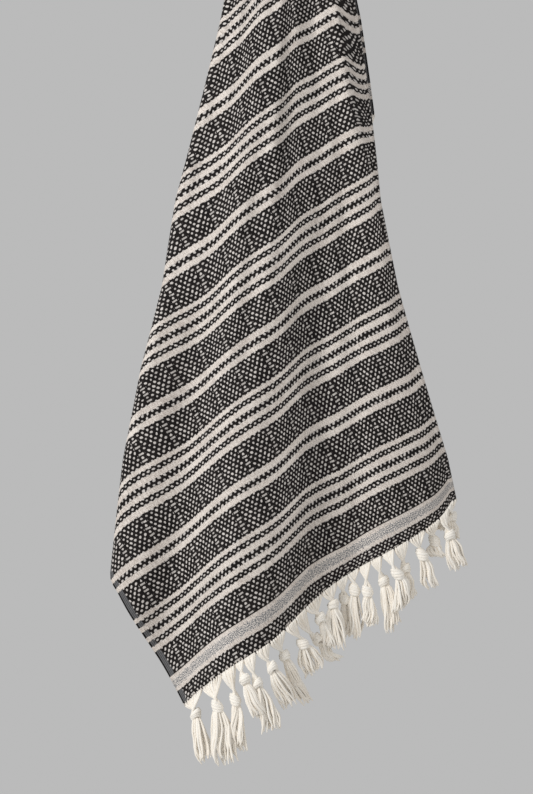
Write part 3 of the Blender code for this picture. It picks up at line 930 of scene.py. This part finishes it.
def draw_roots(bundle, tassel, span, hem, layer, knot, fall, wide, chance):
    """The yarns that leave the hem over a span of it and are drawn together into the knot."""
    for yarn, place in enumerate(np.linspace(*span, ROOT_YARNS)):
        place = place + chance.uniform(-ROOT_SCATTER, ROOT_SCATTER)
        place = np.clip(place, ROOT_FROM_EDGE, WIDTH - ROOT_FROM_EDGE)
        root, _ = hem_point(place, hem)
        off_centre = -ROOT_OFF_CENTRE if yarn % 2 else ROOT_OFF_CENTRE
        root = root + BACKWARDS * SHEET_THICKNESS * off_centre
        share = (place - tassel.place) / max(span[1] - tassel.place, tassel.place - span[0])
        side = -share if layer.rank == 0 else share
        entry = knot - fall * KNOT_HEIGHT * ENTRY_HEIGHT + wide * side * ENTRY_WIDTH
        entry += BACKWARDS * chance.uniform(-ENTRY_DEPTH, ENTRY_DEPTH)
        reach = np.linalg.norm(entry - root)
        leaving = root + np.array(ROOT_LEAVES) * reach * chance.uniform(*ROOT_HANGS)
        entering = entry - ENTRY_PULL * reach * fall
        steps = np.linspace(0.0, 1.0, ROOT_STEPS)[:, None]
        left = 1 - steps
        curve = (left ** 3 * root + 3 * left ** 2 * steps * leaving
                 + 3 * left * steps ** 2 * entering + steps ** 3 * entry)
        curve[:, 1] -= ROOT_SAG * np.sin(np.pi * steps[:, 0]) * chance.uniform(0.0, 1.0)
        thick = YARN * chance.uniform(*ROOT_THICKNESS)
        add_yarn(bundle, curve, thick, ROOT_SIDES, chance.uniform(0.0, 1.0))


def wind_knot(bundle, knot, fall, wide, chance):
    """The overhand knot, as tilted turns of thick yarn."""
    tilt = chance.choice((-1.0, 1.0)) * chance.uniform(*WRAP_TILT)
    for wrap in range(KNOT_WRAPS):
        turns = np.linspace(0.0, 2.0 * np.pi * WRAP_TURNS, WRAP_STEPS)
        turns = turns + chance.uniform(0.0, ANY_TURN)
        level = (wrap + 0.5) / KNOT_WRAPS - 0.5
        rise = KNOT_HEIGHT * level * KNOT_FILLED
        rise = rise + KNOT_RADIUS * tilt * np.cos(turns + WRAP_LAG * wrap)
        girth = (KNOT_RADIUS - WRAP_INSET * YARN) * (1.0 - KNOT_ROUNDING * level ** 2)
        girth = girth * chance.uniform(*WRAP_GIRTHS)
        ring = (knot + np.outer(girth * np.cos(turns), wide) + np.outer(rise, fall)
                + np.outer(KNOT_FLATNESS * girth * np.sin(turns), BACKWARDS))
        add_yarn(bundle, ring, YARN * WRAP_THICKNESS, WRAP_SIDES, chance.uniform(*WRAP_TINTS))


def hang_skirt(bundle, tassel, fallen, wide, chance):
    """The loose yarns below the knot, which fall in a few locks."""
    reach = tassel.length - tassel.drop - SKIRT_FROM
    twist = chance.uniform(-SKIRT_TWIST, SKIRT_TWIST)
    sway, phases = chance.uniform(-SKIRT_SWAY, SKIRT_SWAY), chance.uniform(0.0, ANY_TURN, 2)
    locks = []
    for lock in range(SKIRT_LOCKS):
        spot = lock + chance.uniform(-LOCK_SPACING, LOCK_SPACING)
        locks.append((2.0 * np.pi * spot / SKIRT_LOCKS, chance.uniform(*LOCK_LENGTHS),
                      chance.uniform(-SKIRT_SWAY, SKIRT_SWAY)))
    steps = np.linspace(0.0, 1.0, SKIRT_STEPS)
    opening = np.interp(steps, OPENED_AT, OPENED) * (FLARED * tassel.flare - YARN)
    thick = YARN * np.interp(steps, THINNED_AT, THINNED)
    for strand in range(SKIRT_YARNS):
        lock_heading, lock_length, lock_sway = locks[strand % SKIRT_LOCKS]
        away = np.sqrt((strand + 0.5) / SKIRT_YARNS)
        heading = lock_heading + chance.uniform(-STRAND_SPREAD, STRAND_SPREAD)
        length = reach * lock_length * chance.uniform(*STRAND_LENGTHS)
        around = heading + twist * steps
        waves = 2.0 * np.pi * steps * chance.uniform(*STRAND_WAVES)
        wander = SKIRT_WANDER * np.sin(waves + phases[0]) * steps
        waves = 2.0 * np.pi * steps * SWAY_WAVES
        wander += (sway + lock_sway) * np.sin(waves + phases[1]) * steps
        line = np.array([fallen(tassel.drop + SKIRT_FROM + length * step) for step in steps])
        line += np.outer(away * opening * np.cos(around) + wander + tassel.bow * steps ** 2, wide)
        deeper = away * SKIRT_FLATNESS * opening * np.sin(around) + SKIRT_DEPTH_WANDER * wander
        line += np.outer(deeper, BACKWARDS)
        add_yarn(bundle, line, thick, SKIRT_SIDES, chance.uniform(0.0, 1.0))


def add_tassel(bundle, tassel, span, along_warp, outward, chance):
    """One tassel: root yarns drawn together from the hem, the knot, and the skirt below it."""
    middle, layer = hem_point(tassel.place, along_warp)

    def fallen(drop):
        """The tassel's middle line, which keeps to its layer's depth as it falls."""
        x, z = middle[0] + tassel.lean * drop, middle[2] - drop
        angle, radius = np.arctan2(x, -z), np.hypot(x, z)
        start = depth_of(layer, np.arctan2(middle[0], -middle[2]), np.hypot(middle[0], middle[2]))
        back = tassel.behind * min(drop / tassel.drop, 1.0)
        return np.array((x, middle[1] + depth_of(layer, angle, radius) - start + back, z))

    knot = fallen(tassel.drop)
    fall = np.array((tassel.lean, 0.0, -1.0)) / np.hypot(tassel.lean, 1.0)
    wide = np.array((-fall[2], 0.0, fall[0]))
    hem = along_warp - outward * ROOT_INSIDE
    draw_roots(bundle, tassel, span, hem, layer, knot, fall, wide, chance)
    wind_knot(bundle, knot, fall, wide, chance)
    hang_skirt(bundle, tassel, fallen, wide, chance)


PLY_LENGTH = 0.0042
FUZZ_GRAIN = (5.0, 160.0)
# The yarn's colour runs from YARN_SHADE to YARN_LIGHT. It varies by random tone from yarn to yarn
# and in the fuzz, and by painted shade in the grooves between plies.
YARN_SHADE = (0.90, 0.80, 0.67)
YARN_LIGHT = (1.0, 0.97, 0.91)


def yarn_material():
    """Soft twisted cream cotton, with painted shade: a little darker in the grooves between its
    plies.
    """
    material, place = new_material("fringe_yarn", "Yarn")
    ply = (place.part(0) * 2.0 + place.part(1) / PLY_LENGTH).wave()
    fuzz = place.stretched(*FUZZ_GRAIN).noise(1.0, 2.0)
    # Painted shade: the ply wave darkens the grooves between plies. The fuzz and tint terms are
    # random tone.
    tone_and_ply_shade = 0.62 + 0.05 * ply + 0.22 * (2.0 * fuzz - 1.0) + 0.40 * (place.kept("tint") - 0.5)
    finish_material(material, 0.3 * ply + fuzz, {"Strength": 0.15, "Distance": 0.0004}, {
        "Base Color": tone_and_ply_shade.between(YARN_SHADE, YARN_LIGHT),
        "Roughness": 0.86 + 0.1 * fuzz,
        "Specular IOR Level": 0.2,
        "Sheen Weight": 0.5,
        "Sheen Roughness": 0.6,
    })
    return material


TASSEL_GAP = 0.001


def make_fringe(name, node, tassels, along_warp, outward, seed):
    """One end's fringe: a tassel for each row of its table, all in one piece."""
    chance = np.random.default_rng(seed)
    bundle = {"points": [], "faces": [], "corners": [], "cells": [], "tints": []}
    bundle.update(count=0, yarns=0)
    places = [tassel.place for tassel in tassels]
    sides = [0.0] + [(a + b) / 2.0 for a, b in zip(places, places[1:])] + [WIDTH]
    for tassel, low, high in zip(tassels, sides, sides[1:]):
        span = (low + TASSEL_GAP, high - TASSEL_GAP)
        add_tassel(bundle, tassel, span, along_warp, outward, chance)
    maps = {"Yarn": np.concatenate(bundle["corners"]), "OFBake": np.concatenate(bundle["cells"])}
    fringe = mesh_object(name, np.concatenate(bundle["points"]), bundle["faces"], maps,
                         {"tint": np.concatenate(bundle["tints"])})
    fringe.data.materials.append(YARN_MATERIAL)
    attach(fringe, "root")
    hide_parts(node)
    return fringe


# The hidden end's tassels hang free of the front, so they are spread evenly along it.
FAR_TASSELS = 31
FAR_DROPS = (0.022, 0.032)
FAR_LENGTHS = (0.076, 0.094)
FAR_LEANS = (-0.10, 0.06)
FAR_FLARES = (0.0100, 0.0125)
FAR_BOWS = (-0.003, 0.003)


def far_tassels(seed):
    """The far end's tassels, each a little different."""
    chance = np.random.default_rng(seed)
    return [Tassel((index + 0.5) * WIDTH / FAR_TASSELS, chance.uniform(*FAR_DROPS),
                   chance.uniform(*FAR_LENGTHS), chance.uniform(*FAR_LEANS),
                   chance.uniform(*FAR_FLARES), chance.uniform(*FAR_BOWS), 0.0)
            for index in range(FAR_TASSELS)]


NEAR_YARNS_SEED = 5
FAR_YARNS_SEED = 6
FAR_TASSELS_SEED = 8
YARN_MATERIAL = yarn_material()
fringe_near = make_fringe("towel_fringe_near", "fringe_near", NEAR_TASSELS, 0.0, -1.0,
                          NEAR_YARNS_SEED)
fringe_far = make_fringe("towel_fringe_far", "fringe_far", far_tassels(FAR_TASSELS_SEED), LENGTH,
                         1.0, FAR_YARNS_SEED)


# The studio: a pale round floor under the towel, a large soft lamp at the upper left, a weak one
# at the right, even pale surroundings, and a long lens that looks at the towel square on.
FLOOR_LEVEL = -1.76
FLOOR_RADIUS = 1.35
FLOOR_SIDES = 96
FLOOR_COLOURS = ((0.66, 0.65, 0.63), (0.72, 0.71, 0.69))
FLOOR_MOTTLE = (9.0, 4.0)
CAMERA_DISTANCE = 5.0
PICTURE_HEIGHT = 794 / 720.0
PICTURE_CENTRE = (-0.0243, -0.05, -1.0431)
SENSOR = 36.0

floor_angles = np.linspace(0.0, 2.0 * np.pi, FLOOR_SIDES, endpoint=False)
floor_points = np.stack((FLOOR_RADIUS * np.cos(floor_angles), FLOOR_RADIUS * np.sin(floor_angles),
                         np.full(FLOOR_SIDES, FLOOR_LEVEL)), axis=1)
floor = mesh_object("floor", floor_points, [range(FLOOR_SIDES)], {"Floor": floor_points[:, :2]}, {})
floor_material, floor_place = new_material("pale_floor", "Floor")
mottle = floor_place.noise(*FLOOR_MOTTLE)
finish_material(floor_material, mottle, {"Strength": 0.05, "Distance": 0.002}, {
    "Base Color": mottle.between(*FLOOR_COLOURS),
    "Roughness": 0.75,
})
floor.data.materials.append(floor_material)


Lamp = namedtuple("Lamp", "name place size power")
LAMPS = (
    Lamp("key", (-2.3, -1.9, 0.1), 1.2, 62.0),
    Lamp("fill", (2.4, -2.6, -0.6), 2.0, 10.0),
)
LAMPS_AIM = (0.0, 0.0, -0.95)
SURROUNDINGS = (0.80, 0.80, 0.80, 1.0)
SURROUNDINGS_STRENGTH = 0.62

for row in LAMPS:
    lamp = bpy.data.objects.new(row.name, bpy.data.lights.new(row.name, "AREA"))
    lamp.data.size = row.size
    lamp.data.energy = row.power
    lamp.location = row.place
    direction = Vector(LAMPS_AIM) - Vector(row.place)
    lamp.rotation_euler = direction.to_track_quat("-Z", "Y").to_euler()
    bpy.context.scene.collection.objects.link(lamp)

world = bpy.data.worlds.new("studio")
world.use_nodes = True
background = world.node_tree.nodes["Background"]
background.inputs["Color"].default_value = SURROUNDINGS
background.inputs["Strength"].default_value = SURROUNDINGS_STRENGTH
bpy.context.scene.world = world
bpy.context.scene.view_settings.view_transform = "Standard"

camera = bpy.data.objects.new("camera", bpy.data.cameras.new("camera"))
camera.data.sensor_width = SENSOR
camera.data.lens = SENSOR * CAMERA_DISTANCE / PICTURE_HEIGHT
camera.location = (PICTURE_CENTRE[0], PICTURE_CENTRE[1] - CAMERA_DISTANCE, PICTURE_CENTRE[2])
camera.rotation_euler = (np.pi / 2.0, 0.0, 0.0)
bpy.context.scene.collection.objects.link(camera)
bpy.context.scene.camera = camera
